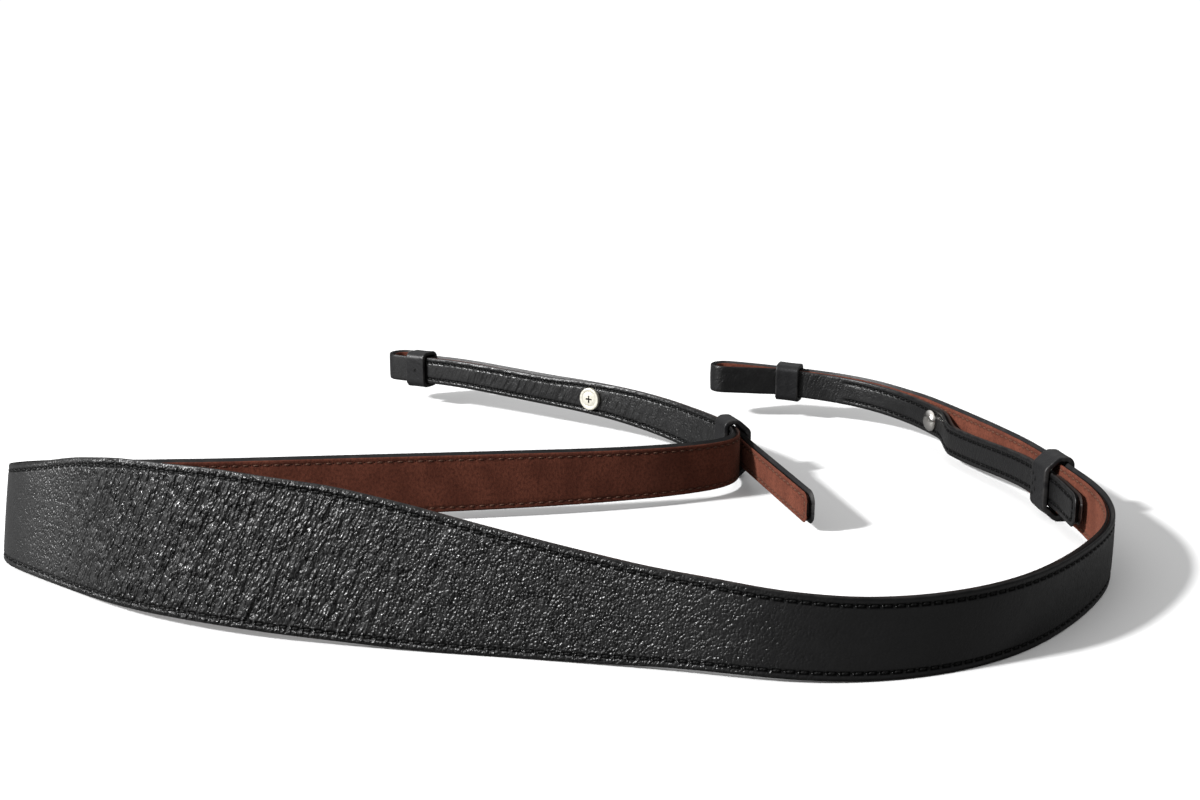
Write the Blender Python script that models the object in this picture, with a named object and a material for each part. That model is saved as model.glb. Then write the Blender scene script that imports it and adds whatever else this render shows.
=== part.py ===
"""Leather camera shoulder strap with a wide pad, standing on its edge as an open loop.

One length of leather with a suede lining runs from tail tip to tail tip. Each end goes round a camera lug,
folds back on itself, is held by a screwed stud, and its tail passes through two leather keepers.
Metres, +Z up, seen from -Y, origin under the middle of the strap.
"""

import math
from collections import namedtuple

import bmesh
import bpy
from mathutils import Matrix, Vector

# Driving sizes of the strap
FOLD_TO_FOLD = 0.968
PAD_MIDDLE = 0.494
END_WIDTH = 0.0100
STRAP_WIDTH = 0.0195
PAD_WIDTH = 0.0372
LEFT_TAIL_LENGTH = 0.227
RIGHT_TAIL_LENGTH = 0.197

# Driving sizes of the layers
LEATHER_THICKNESS = 0.0013
LINING_THICKNESS = 0.0009
LINING_INSET = 0.0005
EDGE_CHAMFER = 0.0003
GLUE_GAP = 0.0003
LAYER_GAP = 0.0003

# Driving sizes of the folds
EYE_WIDTH = 0.0060
EYE_BEND_RADIUS = 0.0026
LEFT_EYE_ANGLE = 62
RIGHT_EYE_ANGLE = 17
END_RISE = 0.0091

# Driving sizes of the keepers
WIDE_KEEPER_LENGTH = 0.0096
WIDE_KEEPER_WALL = 0.0014
NARROW_KEEPER_LENGTH = 0.0088
NARROW_KEEPER_WALL = 0.0013
KEEPER_CLEARANCE = 0.0004
KEEPER_CORNER = 0.0009
KNEE_SHARE = 0.4
LEFT_KEEPER_FROM_STUD = 0.0702
RIGHT_KEEPER_FROM_STUD = 0.0780

# Driving sizes of the studs
STUD_FROM_FOLD = 0.0925
STUD_HEAD_RADIUS = 0.0040
STUD_HEAD_HEIGHT = 0.0012
STUD_HEAD_CHAMFER = 0.0003
RECESS_LENGTH = 0.0040
RECESS_WIDTH = 0.0008
RECESS_DEPTH = 0.0005
CAP_RADIUS = 0.0037
CAP_HEIGHT = 0.0021
BARREL_RADIUS = 0.0020
BARREL_WALL = 0.0004
FIT_CLEARANCE = 0.0003

# How the tails lie
LEFT_TAIL_BULGE = 0.0010
RIGHT_TAIL_BULGE = 0.0030
LEFT_TAIL_DROOP = 0.0002
RIGHT_TAIL_DROOP = 0.0020
BULGE_PEAK = 0.22
LEFT_TIP_DROOP = 0.0024
RIGHT_TIP_DROOP = 0.0
LEFT_TAIL_TURN = 6.0
RIGHT_TAIL_TURN = -7.0
TAIL_TURN_RUN = 0.010
TIP_CORNER = 0.0026

# How finely the curved pieces are cut into flat faces
STEP = 0.001
LONGEST_FACE = 0.008
MOST_TURN = math.radians(7)
ROUND_SIDES = 20
FOLD_SIDES = 26
EYE_BEND_STEP = 9
HEADING_WINDOW = 0.009
WIDTH_WINDOW = 0.012

# Sizes that follow from the driving ones
SHEET_THICKNESS = LEATHER_THICKNESS + GLUE_GAP + LINING_THICKNESS
OUTER_FACE = GLUE_GAP / 2 + LEATHER_THICKNESS
LINING_FACE = GLUE_GAP / 2 + LINING_THICKNESS
LAYER_SPACING = 2 * LINING_FACE + LAYER_GAP
FOLD_RADIUS = EYE_WIDTH / 2 + LINING_FACE
KEEPER_SEAT = WIDE_KEEPER_WALL + KEEPER_CLEARANCE
STACK_THICKNESS = 2 * SHEET_THICKNESS + LAYER_GAP

# Where the strap points, seen from above, in degrees from +X; along is the share of the way between the folds
Heading = namedtuple("Heading", "along degrees")
HEADINGS = [
    Heading(0.000, -33),
    Heading(0.101, -34),
    Heading(0.150, -58),
    Heading(0.174, -78),
    Heading(0.200, -152),
    Heading(0.225, -164),
    Heading(0.265, -171),
    Heading(0.393, -173),
    Heading(0.423, -43),
    Heading(0.464, -41),
    Heading(0.526, -10),
    Heading(0.570, -9),
    Heading(0.612, -13),
    Heading(0.634, -16),
    Heading(0.659, 3),
    Heading(0.716, 45),
    Heading(0.757, 59),
    Heading(0.799, 93),
    Heading(0.861, 102),
    Heading(0.908, 107),
    Heading(0.942, 137),
    Heading(0.967, 159),
    Heading(1.000, 164),
]

# How wide the strap is at a share of the way from a fold to the pad's middle: shares of the growth to
# STRAP_WIDTH and then to PAD_WIDTH
Taper = namedtuple("Taper", "along strap pad")
TAPERS = [
    Taper(0.00, 0.00, 0.00),
    Taper(0.15, 0.06, 0.00),
    Taper(0.22, 0.32, 0.00),
    Taper(0.31, 0.55, 0.00),
    Taper(0.38, 0.60, 0.00),
    Taper(0.51, 0.80, 0.00),
    Taper(0.69, 0.97, 0.00),
    Taper(0.73, 1.00, 0.04),
    Taper(0.78, 1.00, 0.18),
    Taper(0.86, 1.00, 0.60),
    Taper(0.90, 1.00, 0.82),
    Taper(0.94, 1.00, 0.96),
    Taper(1.00, 1.00, 1.00),
]

# How the lower edge lies: shares of a keeper's seat and of the rise to the folds, and the lean of the top inwards
Posture = namedtuple("Posture", "along seat rise lean")
POSTURES = [
    Posture(0.000, 1.0, 0.76, 0),
    Posture(0.030, 1.0, 0.88, 0),
    Posture(0.095, 1.0, 0.62, 0),
    Posture(0.155, 1.0, 0.00, 0),
    Posture(0.180, 1.0, 0.00, 0),
    Posture(0.195, 1.0, 0.07, 0),
    Posture(0.228, 1.0, 0.06, 0),
    Posture(0.310, 1.0, 0.02, 0),
    Posture(0.361, 0.6, 0.05, 0),
    Posture(0.391, 0.2, 0.00, 3),
    Posture(0.407, 0.0, 0.00, 8),
    Posture(0.429, 0.0, 0.03, 8),
    Posture(0.469, 0.0, 0.24, 6),
    Posture(0.506, 0.0, 0.32, 5),
    Posture(0.542, 0.0, 0.12, 4),
    Posture(0.563, 0.0, 0.00, 3),
    Posture(0.600, 0.0, 0.02, 0),
    Posture(0.630, 0.0, 0.14, 0),
    Posture(0.670, 0.0, 0.00, 0),
    Posture(0.770, 0.0, 0.00, 0),
    Posture(0.805, 1.0, 0.00, 0),
    Posture(0.846, 1.0, 0.06, 0),
    Posture(0.896, 1.0, 0.22, 0),
    Posture(0.936, 1.0, 0.56, 0),
    Posture(1.000, 1.0, 0.90, 0),
]

# A place along the strap: plan point and heading of the glue line, height of the lower edge, width and lean
Station = namedtuple("Station", "x y heading foot width lean")

# One end of the strap: which fold it is, and how its tail and keepers lie
End = namedtuple("End", "name side eye_angle keeper_from_stud tail_length bulge droop turn tip_droop")
ENDS = [
    End("left", 1, LEFT_EYE_ANGLE, LEFT_KEEPER_FROM_STUD, LEFT_TAIL_LENGTH,
        LEFT_TAIL_BULGE, LEFT_TAIL_DROOP, LEFT_TAIL_TURN, LEFT_TIP_DROOP),
    End("right", -1, RIGHT_EYE_ANGLE, RIGHT_KEEPER_FROM_STUD, RIGHT_TAIL_LENGTH,
        RIGHT_TAIL_BULGE, RIGHT_TAIL_DROOP, RIGHT_TAIL_TURN, RIGHT_TIP_DROOP),
]


def clear_scene():
    for old in list(bpy.data.objects):
        bpy.data.objects.remove(old, do_unlink=True)


def between(table, along, column):
    """Straight-line value of a column at a share of the way, held at the table's ends."""
    if along <= table[0].along:
        return getattr(table[0], column)
    for low, high in zip(table, table[1:]):
        if along <= high.along:
            part = (along - low.along) / (high.along - low.along)
            return getattr(low, column) + part * (getattr(high, column) - getattr(low, column))
    return getattr(table[-1], column)


def smoothed(table, along, column, window):
    """Mean of a column over a short window, which rounds off the table's corners."""
    spread = window / FOLD_TO_FOLD
    places = [along + spread * k / 4 for k in range(-4, 5)]
    return sum(between(table, place, column) for place in places) / len(places)


def ease(part):
    """Goes from 0 to 1 with no slope at either end."""
    part = min(max(part, 0.0), 1.0)
    return part * part * (3 - 2 * part)


def width_at(distance):
    share = min(distance / PAD_MIDDLE, (FOLD_TO_FOLD - distance) / (FOLD_TO_FOLD - PAD_MIDDLE))
    strap = smoothed(TAPERS, share, "strap", WIDTH_WINDOW)
    pad = smoothed(TAPERS, share, "pad", WIDTH_WINDOW)
    return END_WIDTH + strap * (STRAP_WIDTH - END_WIDTH) + pad * (PAD_WIDTH - STRAP_WIDTH)


def heading_at(distance):
    return math.radians(smoothed(HEADINGS, distance / FOLD_TO_FOLD, "degrees", HEADING_WINDOW))


def main_stations():
    """Stations every STEP from the left fold to the right fold."""
    count = round(FOLD_TO_FOLD / STEP)
    step = FOLD_TO_FOLD / count
    x = y = 0.0
    stations = []
    for index in range(count + 1):
        distance = index * step
        along = distance / FOLD_TO_FOLD
        seat = smoothed(POSTURES, along, "seat", WIDTH_WINDOW)
        rise = smoothed(POSTURES, along, "rise", WIDTH_WINDOW)
        lean = math.radians(smoothed(POSTURES, along, "lean", WIDTH_WINDOW))
        foot = seat * KEEPER_SEAT + rise * END_RISE
        stations.append(Station(x, y, heading_at(distance), foot, width_at(distance), lean))
        middle = heading_at(distance + step / 2)
        x += step * math.cos(middle)
        y += step * math.sin(middle)
    return stations


def station_at(stations, distance):
    """Station at a distance from the left fold, between the two nearest ones."""
    place = min(max(distance / FOLD_TO_FOLD, 0.0), 1.0) * (len(stations) - 1)
    index = min(int(place), len(stations) - 2)
    part = place - index
    low = stations[index]
    high = stations[index + 1]
    return Station(*(a + part * (b - a) for a, b in zip(low, high)))


def beside(station, offset):
    """Plan point on the lining side of a station, at an offset from its glue line."""
    x = station.x - offset * math.sin(station.heading)
    y = station.y + offset * math.cos(station.heading)
    return x, y


def from_fold(end, distance):
    """Distance from the left fold of a place that lies at a distance from this end's fold."""
    return distance if end.side > 0 else FOLD_TO_FOLD - distance


def keeper_middle(end):
    return STUD_FROM_FOLD + end.keeper_from_stud


def eye_run(end):
    """Distance from the fold at which the tail has come back against the strap."""
    turn = math.radians(end.eye_angle)
    both_radii = FOLD_RADIUS + EYE_BEND_RADIUS
    straight_drop = 2 * FOLD_RADIUS - LAYER_SPACING - both_radii * (1 - math.cos(turn))
    return both_radii * math.sin(turn) + straight_drop / math.tan(turn)


def eye_places(end):
    """Drop-shaped eye as (run along the strap, spacing from it): round the fold and back against the strap."""
    turn = math.radians(end.eye_angle)
    places = []
    for index in range(1, FOLD_SIDES + 1):
        angle = (math.pi + turn) * index / FOLD_SIDES
        places.append((-FOLD_RADIUS * math.sin(angle), FOLD_RADIUS * (1 - math.cos(angle))))
    bends = max(2, round(end.eye_angle / EYE_BEND_STEP))
    for index in range(bends, -1, -1):
        angle = turn * index / bends
        run = eye_run(end) - EYE_BEND_RADIUS * math.sin(angle)
        places.append((run, LAYER_SPACING + EYE_BEND_RADIUS * (1 - math.cos(angle))))
    return places


def swell(end, run):
    """Share of a tail's bulge and droop: none up to the stud, quickly full after it, none in the keeper."""
    start = STUD_FROM_FOLD + STUD_HEAD_RADIUS
    finish = keeper_middle(end) - WIDE_KEEPER_LENGTH / 2
    part = (run - start) / (finish - start)
    return ease(part / BULGE_PEAK) * ease((1 - part) / (1 - BULGE_PEAK))


def along_strap(end, stations, run, spacing):
    """Plan point and station beside the strap; a negative run lies beyond the fold."""
    station = station_at(stations, from_fold(end, max(run, 0.0)))
    x, y = beside(station, spacing)
    beyond = end.side * min(run, 0.0)
    return x + beyond * math.cos(station.heading), y + beyond * math.sin(station.heading), station


def tail_points(end, stations):
    """Points of an eye and its tail from the fold to the tip: x, y, height of the middle, width."""
    points = []
    for run, spacing in eye_places(end):
        x, y, station = along_strap(end, stations, run, spacing)
        points.append((x, y, station.foot + station.width / 2, END_WIDTH))
    mouth = keeper_middle(end) + WIDE_KEEPER_LENGTH / 2
    count = round((mouth - eye_run(end)) / STEP)
    for index in range(1, count + 1):
        run = eye_run(end) + (mouth - eye_run(end)) * index / count
        share = swell(end, run)
        x, y, station = along_strap(end, stations, run, LAYER_SPACING + share * end.bulge)
        points.append((x, y, station.foot + station.width / 2 - share * end.droop, END_WIDTH))
    heading = station.heading + (0 if end.side > 0 else math.pi)
    height = points[-1][2]
    free_count = round((end.tail_length - mouth) / STEP)
    for index in range(1, free_count + 1):
        turned = heading + math.radians(end.turn) * ease(index * STEP / TAIL_TURN_RUN)
        x += STEP * math.cos(turned)
        y += STEP * math.sin(turned)
        points.append((x, y, height - end.tip_droop * index / free_count, END_WIDTH))
    return points


def tip_stations(points):
    """Tail points with the two corners of the end rounded."""
    last = len(points) - 1
    shaped = []
    for index, (x, y, height, width) in enumerate(points):
        reach = max(TIP_CORNER - (last - index) * STEP, 0.0)
        width -= 2 * (TIP_CORNER - math.sqrt(TIP_CORNER**2 - reach**2))
        shaped.append((x, y, height, width))
    return shaped


def whole_route(stations):
    """Stations of the whole length of leather, from the left tail's tip to the right tail's tip."""
    left, right = ENDS
    rows = [point + (0.0,) for point in reversed(tip_stations(tail_points(left, stations)))]
    rows += [(s.x, s.y, s.foot + s.width / 2, s.width, s.lean) for s in stations]
    rows += [point + (0.0,) for point in tip_stations(tail_points(right, stations))]
    route = []
    for index, (x, y, height, width, lean) in enumerate(rows):
        before = rows[max(index - 1, 0)]
        after = rows[min(index + 1, len(rows) - 1)]
        heading = math.atan2(after[1] - before[1], after[0] - before[0])
        route.append(Station(x, y, heading, height - width / 2, width, lean))
    return route


def turn_between(first, second):
    return abs(math.remainder(second.heading - first.heading, 2 * math.pi))


def thinned(route):
    """Fewer stations: close together where the strap bends or its width changes, far apart elsewhere."""
    kept = [route[0]]
    for station, following in zip(route[1:], route[2:]):
        last = kept[-1]
        run = math.hypot(following.x - last.x, following.y - last.y)
        wider = abs(following.width - last.width) > EDGE_CHAMFER * 4
        if run > LONGEST_FACE or turn_between(last, following) > MOST_TURN or wider:
            kept.append(station)
    kept.append(route[-1])
    return kept


def placed(station, across, up):
    """Point of a cross-section: across from the glue line to the black side, up from the lower edge."""
    side = Vector((math.sin(station.heading), -math.cos(station.heading), 0.0))
    upward = Vector((0.0, 0.0, 1.0))
    leaning_side = side * math.cos(station.lean) + upward * math.sin(station.lean)
    leaning_up = upward * math.cos(station.lean) - side * math.sin(station.lean)
    base = Vector((station.x, station.y, station.foot))
    return base + leaning_side * across + leaning_up * up


def leather_section(width):
    """Cross-section of the outer leather, with its edges eased: (across, up) from the black side's foot."""
    inner = GLUE_GAP / 2
    outer = OUTER_FACE
    ease_by = min(EDGE_CHAMFER, width / 4)
    return [
        (outer, ease_by),
        (outer, width - ease_by),
        (outer - ease_by, width),
        (inner + ease_by, width),
        (inner, width - ease_by),
        (inner, ease_by),
        (inner + ease_by, 0.0),
        (outer - ease_by, 0.0),
    ]


def lining_section(width):
    inset = min(LINING_INSET, width / 4)
    near = -GLUE_GAP / 2
    far = -LINING_FACE
    return [(near, inset), (near, width - inset), (far, width - inset), (far, inset)]


def material(name, colour, roughness, metallic=0.0):
    made = bpy.data.materials.new(name)
    made.use_nodes = True
    shader = made.node_tree.nodes["Principled BSDF"]
    shader.inputs["Base Color"].default_value = (*colour, 1.0)
    shader.inputs["Roughness"].default_value = roughness
    shader.inputs["Metallic"].default_value = metallic
    return made


def mesh_object(name, mesh_builder, finish, parent):
    """New object from a filled bmesh, with its faces turned outwards."""
    bmesh.ops.recalc_face_normals(mesh_builder, faces=mesh_builder.faces)
    mesh = bpy.data.meshes.new(name)
    mesh_builder.to_mesh(mesh)
    mesh_builder.free()
    mesh.materials.append(finish)
    made = bpy.data.objects.new(name, mesh)
    bpy.context.scene.collection.objects.link(made)
    made.parent = parent
    return made


def swept(name, route, section, finish, parent):
    """Closed solid that follows a route with one closed cross-section at each station."""
    builder = bmesh.new()
    loops = [[builder.verts.new(placed(station, *corner)) for corner in section(station.width)]
             for station in route]
    for first, second in zip(loops, loops[1:]):
        for index in range(len(first)):
            after = (index + 1) % len(first)
            builder.faces.new((first[index], first[after], second[after], second[index]))
    builder.faces.new(loops[0])
    builder.faces.new(reversed(loops[-1]))
    return mesh_object(name, builder, finish, parent)


def bore(target, cutter, name):
    """Cuts one mesh from another and leaves the cutter out of the render."""
    cutter.hide_render = True
    cutter.display_type = "WIRE"
    cut = target.modifiers.new(name, "BOOLEAN")
    cut.operation = "DIFFERENCE"
    cut.object = cutter


def turned_solid(name, profile, finish, parent):
    """Solid turned about its own Z axis from (radius, height) points that start and end on the axis."""
    builder = bmesh.new()
    rings = []
    for radius, height in profile:
        if radius == 0.0:
            rings.append([builder.verts.new((0.0, 0.0, height))])
            continue
        angles = [2 * math.pi * k / ROUND_SIDES for k in range(ROUND_SIDES)]
        rings.append([builder.verts.new((radius * math.cos(a), radius * math.sin(a), height)) for a in angles])
    for low, high in zip(rings, rings[1:]):
        for k in range(ROUND_SIDES):
            after = (k + 1) % ROUND_SIDES
            corners = [low[k % len(low)], low[after % len(low)], high[after % len(high)], high[k % len(high)]]
            builder.faces.new(list(dict.fromkeys(corners)))
    made = mesh_object(name, builder, finish, parent)
    made.data.shade_smooth()
    made.data.set_sharp_from_angle(angle=math.radians(35))
    return made


def stud_place(end, stations):
    """Place of a stud: its axis points out of the strap's black face, from the middle of that face."""
    station = station_at(stations, from_fold(end, STUD_FROM_FOLD))
    point = placed(station, OUTER_FACE, station.width / 2)
    axis = Vector((math.sin(station.heading), -math.cos(station.heading), 0.0))
    return point, axis.to_track_quat("Z", "Y").to_matrix().to_4x4()


def put(piece, point, turn):
    piece.location = point
    piece.rotation_euler = turn.to_euler()


def recess_cutter(end, top, stations, finish, parent):
    """Upright cross that cuts the screwdriver recess into a stud's head."""
    long = RECESS_LENGTH / 2
    narrow = RECESS_WIDTH / 2
    quarter = [(long, -narrow), (long, narrow), (narrow, narrow)]
    builder = bmesh.new()
    outline = []
    for turns in range(4):
        turn = Matrix.Rotation(turns * math.pi / 2, 3, "Z")
        outline += [builder.verts.new(turn @ Vector((x, y, top - RECESS_DEPTH))) for x, y in quarter]
    base = builder.faces.new(outline)
    raised = bmesh.ops.extrude_face_region(builder, geom=[base])["geom"]
    corners = [item for item in raised if isinstance(item, bmesh.types.BMVert)]
    bmesh.ops.translate(builder, vec=(0.0, 0.0, 2 * RECESS_DEPTH), verts=corners)
    cutter = mesh_object(f"{end.name}_recess_cutter", builder, finish, parent)
    put(cutter, *stud_place(end, stations))
    return cutter


def stud_screw(end, stations, finish, parent):
    """Flat head with a cross recess on the strap's black face, and the shank that goes into the post."""
    shank_radius = BARREL_RADIUS - BARREL_WALL - FIT_CLEARANCE
    low = FIT_CLEARANCE
    top = low + STUD_HEAD_HEIGHT
    shank_end = FIT_CLEARANCE - (STACK_THICKNESS - BARREL_WALL) * 0.85
    profile = [
        (0.0, top),
        (STUD_HEAD_RADIUS - STUD_HEAD_CHAMFER, top),
        (STUD_HEAD_RADIUS, top - STUD_HEAD_CHAMFER),
        (STUD_HEAD_RADIUS, low),
        (shank_radius, low),
        (shank_radius, shank_end),
        (0.0, shank_end),
    ]
    screw = turned_solid(f"{end.name}_stud_screw", profile, finish, parent)
    put(screw, *stud_place(end, stations))
    bore(screw, recess_cutter(end, top, stations, finish, parent), "recess")
    return screw


def stud_post(end, stations, finish, parent):
    """Domed cap on the tail's black face, with the barrel through all the layers."""
    bore_radius = BARREL_RADIUS - BARREL_WALL
    cap_base = -STACK_THICKNESS - FIT_CLEARANCE
    bore_floor = -STACK_THICKNESS
    dome = []
    rings = 5
    for index in range(1, rings + 1):
        angle = math.pi / 2 * index / rings
        dome.append((CAP_RADIUS * math.sin(angle), cap_base - CAP_HEIGHT * math.cos(angle) * 0.8 - CAP_HEIGHT * 0.2))
    profile = [(0.0, cap_base - CAP_HEIGHT)] + dome + [
        (CAP_RADIUS, cap_base),
        (BARREL_RADIUS, cap_base),
        (BARREL_RADIUS, 0.0),
        (bore_radius, 0.0),
        (bore_radius, bore_floor),
        (0.0, bore_floor),
    ]
    post = turned_solid(f"{end.name}_stud_post", profile, finish, parent)
    put(post, *stud_place(end, stations))
    return post


def stud_hole_cutter(end, stations, finish, parent):
    """Cylinder through all the layers, as wide as the barrel and its clearance."""
    radius = BARREL_RADIUS + FIT_CLEARANCE
    reach = STACK_THICKNESS * 1.5
    profile = [(0.0, reach - STACK_THICKNESS), (radius, reach - STACK_THICKNESS), (radius, -reach), (0.0, -reach)]
    cutter = turned_solid(f"{end.name}_stud_hole_cutter", profile, finish, parent)
    put(cutter, *stud_place(end, stations))
    return cutter


def keeper_outline(width, margin):
    """Corners (across, up) of a keeper's loop at a margin from the strap and its narrower tail."""
    strap_side = OUTER_FACE + margin
    knee = -LINING_FACE - margin * KNEE_SHARE
    tail_side = -LAYER_SPACING - OUTER_FACE - margin
    strap_half = width / 2 + margin
    tail_half = END_WIDTH / 2 + margin
    corner = KEEPER_CORNER + margin / 2
    cut = corner * (1 - math.sqrt(0.5))
    upper = [
        (strap_side, strap_half - corner),
        (strap_side - cut, strap_half - cut),
        (strap_side - corner, strap_half),
        (knee, strap_half),
        (tail_side + corner, tail_half),
        (tail_side + cut, tail_half - cut),
        (tail_side, tail_half - corner),
    ]
    lower = [(across, -up) for across, up in reversed(upper)]
    return [(across, width / 2 + up) for across, up in upper + lower]


def keeper(name, end, middle, length, wall, stations, finish, parent):
    """Leather band that loops round the strap and its tail and follows their curve."""
    builder = bmesh.new()
    slices = 4
    rings = []
    for index in range(slices + 1):
        distance = middle + length * (index / slices - 0.5)
        station = station_at(stations, from_fold(end, distance))
        inner = keeper_outline(station.width, KEEPER_CLEARANCE)
        outer = keeper_outline(station.width, KEEPER_CLEARANCE + wall)
        rings.append([[builder.verts.new(placed(station, *corner)) for corner in loop] for loop in (inner, outer)])
    for (inner, outer), (next_inner, next_outer) in zip(rings, rings[1:]):
        for k in range(len(inner)):
            after = (k + 1) % len(inner)
            builder.faces.new((inner[k], next_inner[k], next_inner[after], inner[after]))
            builder.faces.new((outer[k], outer[after], next_outer[after], next_outer[k]))
    for inner, outer in (rings[0], rings[-1]):
        for k in range(len(inner)):
            after = (k + 1) % len(inner)
            builder.faces.new((inner[k], inner[after], outer[after], outer[k]))
    return mesh_object(name, builder, finish, parent)


def centre_on_floor(parent, pieces):
    """Moves the whole strap so that the origin lies under the middle of its box."""
    bpy.context.view_layer.update()
    graph = bpy.context.evaluated_depsgraph_get()
    corners = []
    for piece in pieces:
        evaluated = piece.evaluated_get(graph)
        corners += [evaluated.matrix_world @ vertex.co for vertex in evaluated.data.vertices]
    low = Vector(min(corner[axis] for corner in corners) for axis in range(3))
    high = Vector(max(corner[axis] for corner in corners) for axis in range(3))
    parent.location = Vector((-(low.x + high.x) / 2, -(low.y + high.y) / 2, -low.z))


def build():
    clear_scene()
    black = material("black_leather", (0.012, 0.012, 0.013), 0.42)
    brown = material("brown_suede", (0.105, 0.030, 0.018), 0.95)
    nickel = material("nickel", (0.78, 0.76, 0.72), 0.22, 1.0)
    strap = bpy.data.objects.new("strap", None)
    bpy.context.scene.collection.objects.link(strap)
    stations = main_stations()
    route = thinned(whole_route(stations))
    outer_leather = swept("outer_leather", route, leather_section, black, strap)
    lining = swept("lining", route, lining_section, brown, strap)
    pieces = [outer_leather, lining]
    for end in ENDS:
        cutter = stud_hole_cutter(end, stations, nickel, strap)
        bore(outer_leather, cutter, f"{end.name}_stud_hole")
        bore(lining, cutter, f"{end.name}_stud_hole")
        pieces.append(stud_screw(end, stations, nickel, strap))
        pieces.append(stud_post(end, stations, nickel, strap))
        pieces.append(keeper(f"{end.name}_wide_keeper", end, keeper_middle(end), WIDE_KEEPER_LENGTH,
                             WIDE_KEEPER_WALL, stations, black, strap))
        narrow_middle = eye_run(end) + NARROW_KEEPER_LENGTH / 2
        pieces.append(keeper(f"{end.name}_narrow_keeper", end, narrow_middle, NARROW_KEEPER_LENGTH,
                             NARROW_KEEPER_WALL, stations, black, strap))
    centre_on_floor(strap, pieces)


build()
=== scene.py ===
import math
from bisect import bisect_right
from collections import namedtuple

import bpy
from mathutils import Matrix, Vector


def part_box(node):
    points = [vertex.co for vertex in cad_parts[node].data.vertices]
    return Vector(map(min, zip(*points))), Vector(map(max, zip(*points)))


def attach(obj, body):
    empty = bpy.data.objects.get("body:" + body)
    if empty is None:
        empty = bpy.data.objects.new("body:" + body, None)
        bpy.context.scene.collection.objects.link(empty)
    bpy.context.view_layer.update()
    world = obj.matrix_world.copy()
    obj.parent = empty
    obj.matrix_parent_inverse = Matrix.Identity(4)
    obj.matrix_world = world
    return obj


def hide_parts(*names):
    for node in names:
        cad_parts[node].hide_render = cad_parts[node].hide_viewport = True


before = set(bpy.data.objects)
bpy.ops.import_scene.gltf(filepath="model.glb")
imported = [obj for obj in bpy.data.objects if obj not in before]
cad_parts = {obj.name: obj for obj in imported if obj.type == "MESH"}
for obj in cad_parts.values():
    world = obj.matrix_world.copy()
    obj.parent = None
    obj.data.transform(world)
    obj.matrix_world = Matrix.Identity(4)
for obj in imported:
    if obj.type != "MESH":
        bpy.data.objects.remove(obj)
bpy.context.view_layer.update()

# Driving sizes of the strap, in metres, as in the part's source
FOLD_TO_FOLD = 0.968
PAD_MIDDLE = 0.494
END_WIDTH = 0.0100
STRAP_WIDTH = 0.0195
PAD_WIDTH = 0.0372
LEATHER_THICKNESS = 0.0013
LINING_THICKNESS = 0.0009
LINING_INSET = 0.0005
GLUE_GAP = 0.0003
LAYER_GAP = 0.0003
EYE_WIDTH = 0.0060
EYE_BEND_RADIUS = 0.0026
END_RISE = 0.0091
WIDE_KEEPER_LENGTH = 0.0096
WIDE_KEEPER_WALL = 0.0014
NARROW_KEEPER_LENGTH = 0.0088
NARROW_KEEPER_WALL = 0.0013
KEEPER_CLEARANCE = 0.0004
KNEE_SHARE = 0.4
STUD_FROM_FOLD = 0.0925
STUD_HEAD_RADIUS = 0.0040
STUD_HEAD_HEIGHT = 0.0012
CAP_RADIUS = 0.0037
CAP_HEIGHT = 0.0021
BARREL_RADIUS = 0.0020
FIT_CLEARANCE = 0.0003
BULGE_PEAK = 0.22
TAIL_TURN_RUN = 0.010
STEP = 0.001
FOLD_SIDES = 26
EYE_BEND_STEP = 9
HEADING_WINDOW = 0.009
WIDTH_WINDOW = 0.012

# Sizes that follow from the driving ones
OUTER_FACE = GLUE_GAP / 2 + LEATHER_THICKNESS
LINING_FACE = GLUE_GAP / 2 + LINING_THICKNESS
LAYER_SPACING = 2 * LINING_FACE + LAYER_GAP
FOLD_RADIUS = EYE_WIDTH / 2 + LINING_FACE
KEEPER_SEAT = WIDE_KEEPER_WALL + KEEPER_CLEARANCE
STACK_THICKNESS = 2 * (LEATHER_THICKNESS + GLUE_GAP + LINING_THICKNESS) + LAYER_GAP

# Sizes of what only the finish shows: the leather and its stitches
TIP_CORNER = 0.0034
GLUE_LINE = 0.00003
STITCH_INSET = 0.0019
STITCH_PITCH = 0.0029
STITCH_LENGTH = 0.0021
THREAD_WIDTH = 0.00076
THREAD_HEIGHT = 0.00044
THREAD_DIVE = 0.55
THREAD_LIFT = 0.22
STITCH_SLANT = 0.045
STITCH_SWAY_STEP = 2.3
LEAST_STITCHED = 0.6
SUEDE_STITCH_LENGTH = STITCH_LENGTH * 0.85
SUEDE_THREAD_WIDTH = THREAD_WIDTH * 0.62
SUEDE_ROW = STITCH_INSET - LINING_INSET
BARE_BY_FOLD = 0.013
BARE_BEHIND_FOLD = 0.045
STITCH_START = 4 * STEP
FACE_CROWN = 0.00012
LEAST_RIMS_ACROSS = 2.6

# The keepers: slices along them, cuts round them, the share of the clearance left inside, the hollow of
# their sides, the rounding of their rims and corners, and how coarse their grain is
KEEPER_SLICES = 12
KEEPER_CUT = 0.0009
KEEPER_SNUG = 0.6
KEEPER_FLARE = 0.00012
KEEPER_RIM = 0.00042
KEEPER_RADII = [0.0011, 0.0011, 0.0016, 0.0010, 0.0010, 0.0016]
KEEPER_COARSE = 0.35

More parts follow.
